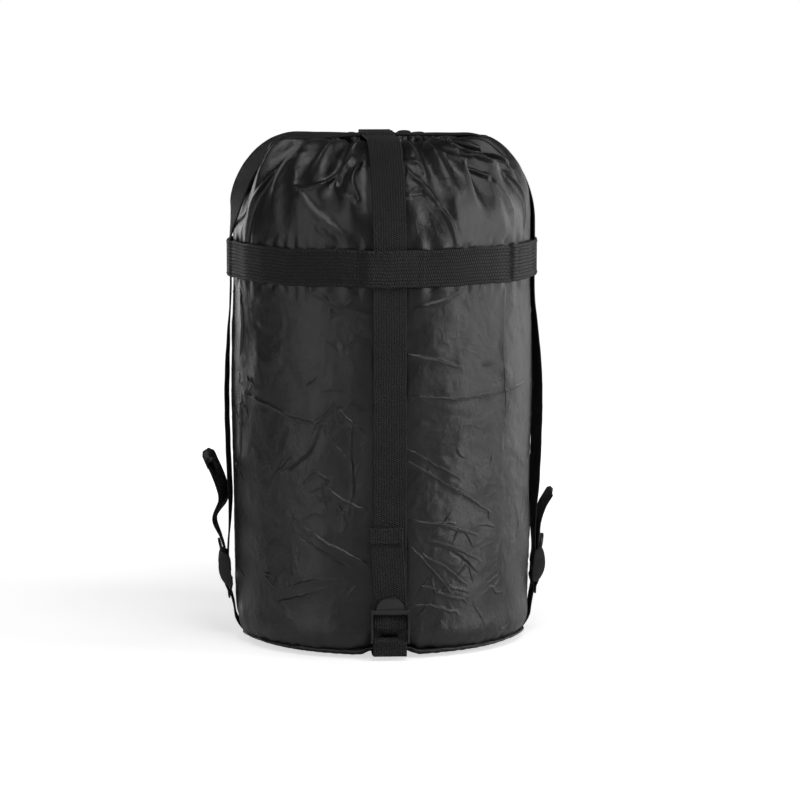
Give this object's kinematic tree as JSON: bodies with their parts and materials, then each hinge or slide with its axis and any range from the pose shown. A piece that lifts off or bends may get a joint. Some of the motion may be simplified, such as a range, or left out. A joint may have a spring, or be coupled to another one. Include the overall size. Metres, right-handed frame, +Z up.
{
  "type": "compression sack",
  "caption": "Cylindrical nylon drawstring sack squeezed by webbing straps over the top, a girth band and ladder-lock buckles near the base.",
  "frame": {"origin": "on the floor under the middle of the sack, on the lower face of the bottom strap that runs front to back", "axes": "+Z up along the sack towards its mouth, -Y towards the front strap, +X to the right seen from the front"},
  "size_m": [0.2892, 0.2696, 0.4197],
  "materials": {
    "nylon": "coated plain-weave nylon cloth with a soft sheen",
    "webbing": "ribbed polypropylene webbing, matt",
    "plastic": "fine moulded texture, satin edges",
    "cord": "braided cord",
    "spring_steel": "drawn wire"
  },
  "bodies": {
    "base": {"base_panel": "nylon", "side_panel": "nylon", "bottom_strap_across": "webbing", "bottom_strap_front_to_back": "webbing", "front_strap": "webbing", "right_strap": "webbing", "back_strap": "webbing", "left_strap": "webbing"},
    "top": {"top_panel": "nylon", "drawstring_channel": "nylon", "drawcord": "cord", "cord_lock_barrel": "plastic", "cord_lock_spring": "spring_steel", "band": "webbing", "top_strap_across": "webbing", "top_strap_front_to_back": "webbing"},
    "lock_button": {"cord_lock_plunger": "plastic"},
    "front_buckle": {"front_buckle": "plastic", "front_strap_turn": "webbing"},
    "right_buckle": {"right_buckle": "plastic", "right_strap_turn": "webbing"},
    "back_buckle": {"back_buckle": "plastic", "back_strap_turn": "webbing"},
    "left_buckle": {"left_buckle": "plastic", "left_strap_turn": "webbing"},
    "front_tail": {"front_tail": "webbing"},
    "right_tail": {"right_tail": "webbing"},
    "back_tail": {"back_tail": "webbing"},
    "left_tail": {"left_tail": "webbing"}
  },
  "joints": [
    {"name": "squeeze", "type": "slide", "parent": "base", "child": "top", "axis": [0, 0, 1], "range_m": [-0.13, 0], "deforming": ["side_panel", "front_strap", "right_strap", "back_strap", "left_strap"]},
    {"name": "front_tail_pull", "type": "slide", "parent": "base", "child": "front_tail", "axis": [0, -0.1191, 0.9929], "range_m": [0, 0.13], "deforming": ["front_tail"]},
    {"name": "right_tail_pull", "type": "slide", "parent": "base", "child": "right_tail", "axis": [0.1191, 0, 0.9929], "range_m": [0, 0.13], "deforming": ["right_tail"]},
    {"name": "back_tail_pull", "type": "slide", "parent": "base", "child": "back_tail", "axis": [0, 0.1191, 0.9929], "range_m": [0, 0.13], "deforming": ["back_tail"]},
    {"name": "left_tail_pull", "type": "slide", "parent": "base", "child": "left_tail", "axis": [-0.1191, 0, 0.9929], "range_m": [0, 0.13], "deforming": ["left_tail"]},
    {"name": "front_buckle_tilt", "type": "hinge", "parent": "base", "child": "front_buckle", "pos_m": [0, -0.1272, 0.016], "axis": [1, 0, 0], "range_deg": [0, 30], "stiffness_Nm_per_rad": 0.02},
    {"name": "right_buckle_tilt", "type": "hinge", "parent": "base", "child": "right_buckle", "pos_m": [0.1276, 0, 0.046], "axis": [0, 1, 0], "range_deg": [0, 30], "stiffness_Nm_per_rad": 0.02},
    {"name": "back_buckle_tilt", "type": "hinge", "parent": "base", "child": "back_buckle", "pos_m": [0, 0.1272, 0.016], "axis": [-1, 0, 0], "range_deg": [0, 30], "stiffness_Nm_per_rad": 0.02},
    {"name": "left_buckle_tilt", "type": "hinge", "parent": "base", "child": "left_buckle", "pos_m": [-0.1284, 0, 0.0445], "axis": [0, -1, 0], "range_deg": [0, 30], "stiffness_Nm_per_rad": 0.02},
    {"name": "cord_lock_press", "type": "slide", "parent": "top", "child": "lock_button", "axis": [0.7071, -0.7071, 0], "range_m": [-0.0042, 0], "stiffness_N_per_m": 300, "springref_m": 0.008, "deforming": ["cord_lock_spring"]}
  ],
  "couplings": [
    {"joint": "front_tail_pull", "follows": "squeeze", "ratio": -1},
    {"joint": "right_tail_pull", "follows": "squeeze", "ratio": -1},
    {"joint": "back_tail_pull", "follows": "squeeze", "ratio": -1},
    {"joint": "left_tail_pull", "follows": "squeeze", "ratio": -1}
  ]
}
